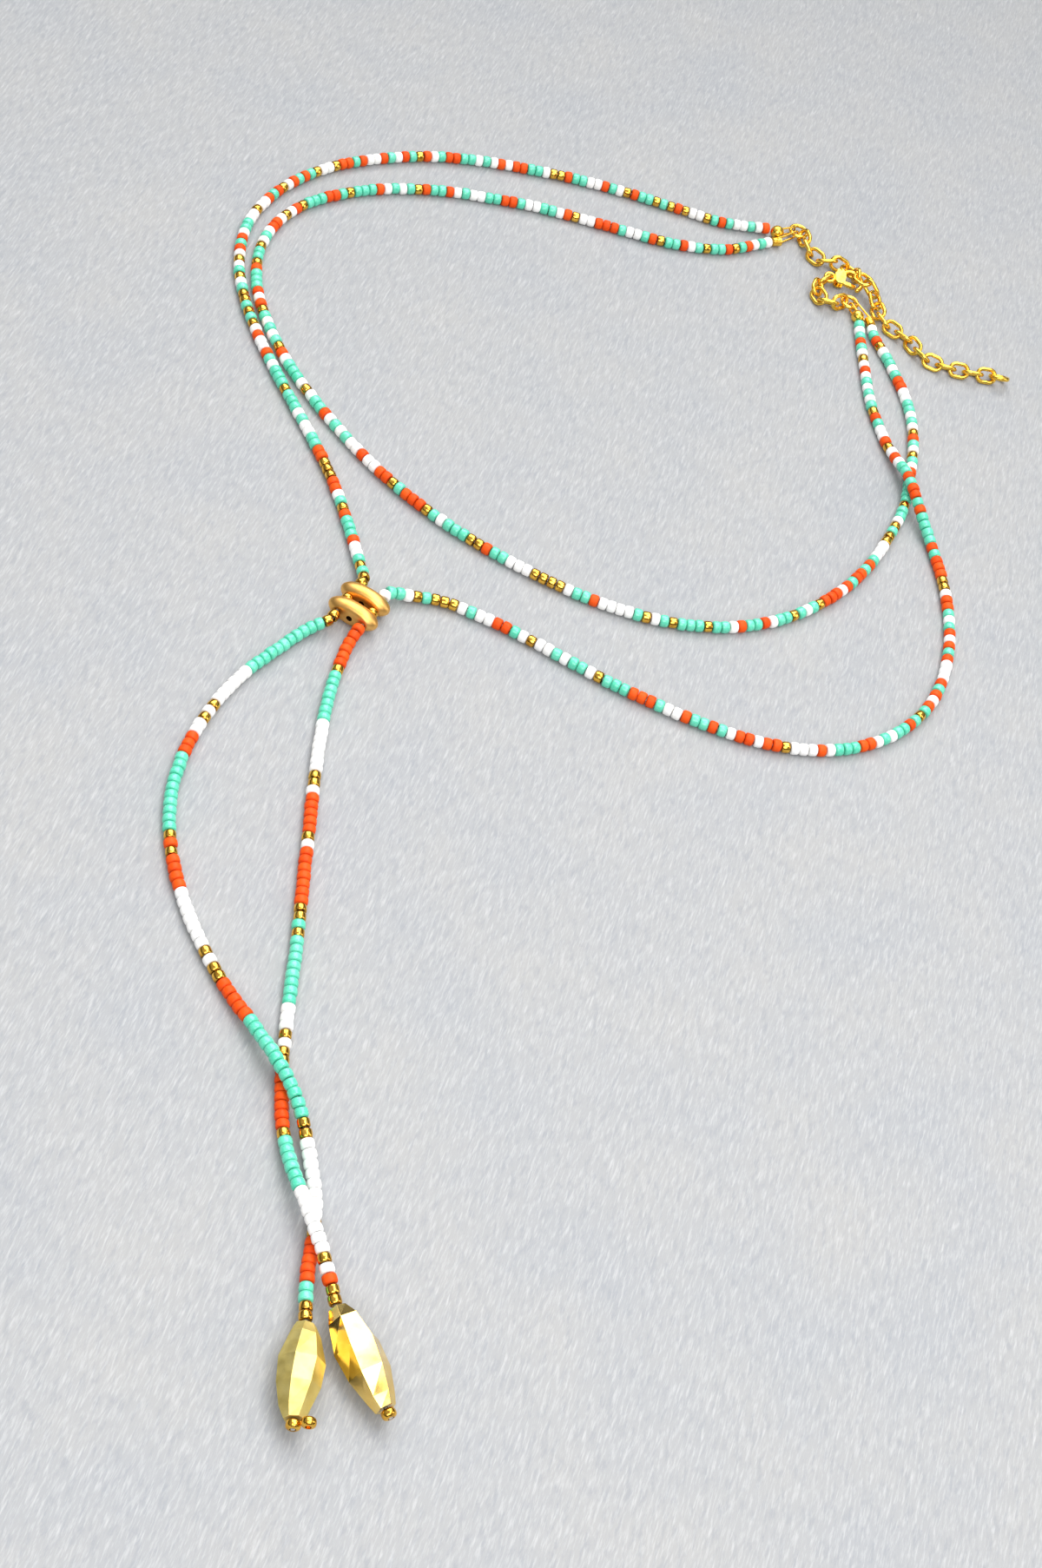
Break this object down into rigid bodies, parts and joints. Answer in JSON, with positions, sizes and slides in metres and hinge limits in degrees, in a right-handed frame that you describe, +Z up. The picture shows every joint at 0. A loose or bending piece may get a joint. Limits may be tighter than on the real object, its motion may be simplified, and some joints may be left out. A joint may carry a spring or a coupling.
{
  "type": "lariat necklace",
  "caption": "Beaded lariat necklace: strands of small seed beads drawn through a two-bar spacer, crossed tails with faceted drops, and a clasp on an extender chain.",
  "frame": {"origin": "middle of the laid-out necklace's box, on the surface it lies on", "axes": "+X across the neck to the right, +Y from the drops to the clasp, +Z up from the surface"},
  "size_m": [0.155, 0.2951, 0.0062],
  "materials": {
    "seed_beads": "opaque glazed seed beads",
    "spacer_metal": "satin gold plating",
    "gold_bead": "metallic gold seed bead",
    "thread": "white nylon bead thread",
    "champagne_metal": "brushed pale gold plating",
    "polished_gold": "polished gold plating",
    "gold_findings": "bright gold plating"
  },
  "bodies": {
    "necklace": {"outer_strand_left": "seed_beads", "inner_strand": "seed_beads", "outer_strand_right": "seed_beads", "tail_left": "seed_beads", "tail_right": "seed_beads", "spacer_bar_front": "spacer_metal", "spacer_bar_rear": "spacer_metal", "spacer_bead_left": "gold_bead", "spacer_bead_right": "gold_bead", "spacer_thread_left": "thread", "spacer_thread_right": "thread", "drop_left": "champagne_metal", "drop_right": "polished_gold", "drop_thread_left": "thread", "drop_thread_right": "thread", "end_bead_left": "gold_bead", "end_bead_left_side": "gold_bead", "end_bead_right": "gold_bead", "ball_cover_left": "gold_findings", "crimp_left": "gold_findings", "ball_cover_right": "gold_findings", "crimp_right": "gold_findings", "jump_ring_left": "gold_findings", "jump_ring_right": "gold_findings", "clasp_body": "gold_findings", "extender_link_01": "gold_findings", "extender_link_02": "gold_findings", "extender_link_03": "gold_findings", "extender_link_04": "gold_findings", "extender_link_05": "gold_findings", "extender_link_06": "gold_findings", "extender_link_07": "gold_findings", "extender_link_08": "gold_findings", "extender_link_09": "gold_findings", "extender_link_10": "gold_findings", "extender_link_11": "gold_findings", "extender_link_12": "gold_findings", "extender_link_13": "gold_findings", "extender_link_14": "gold_findings", "extender_link_15": "gold_findings", "extender_link_16": "gold_findings", "extender_link_17": "gold_findings", "extender_link_18": "gold_findings", "extender_link_19": "gold_findings", "extender_link_20": "gold_findings", "extender_link_21": "gold_findings", "connector_link_01": "gold_findings", "connector_link_02": "gold_findings", "connector_link_03": "gold_findings", "connector_link_04": "gold_findings", "connector_link_05": "gold_findings", "end_ring": "gold_findings"},
    "clasp_lever": {"clasp_lever": "gold_findings"}
  },
  "joints": [
    {"name": "clasp_lever_hinge", "type": "hinge", "parent": "necklace", "child": "clasp_lever", "pos_m": [0.03418, 0.13526, 0.00164], "axis": [0.0757, -0.2475, 0.9659], "range_deg": [0, 14], "stiffness_Nm_per_rad": 0.0002}
  ]
}
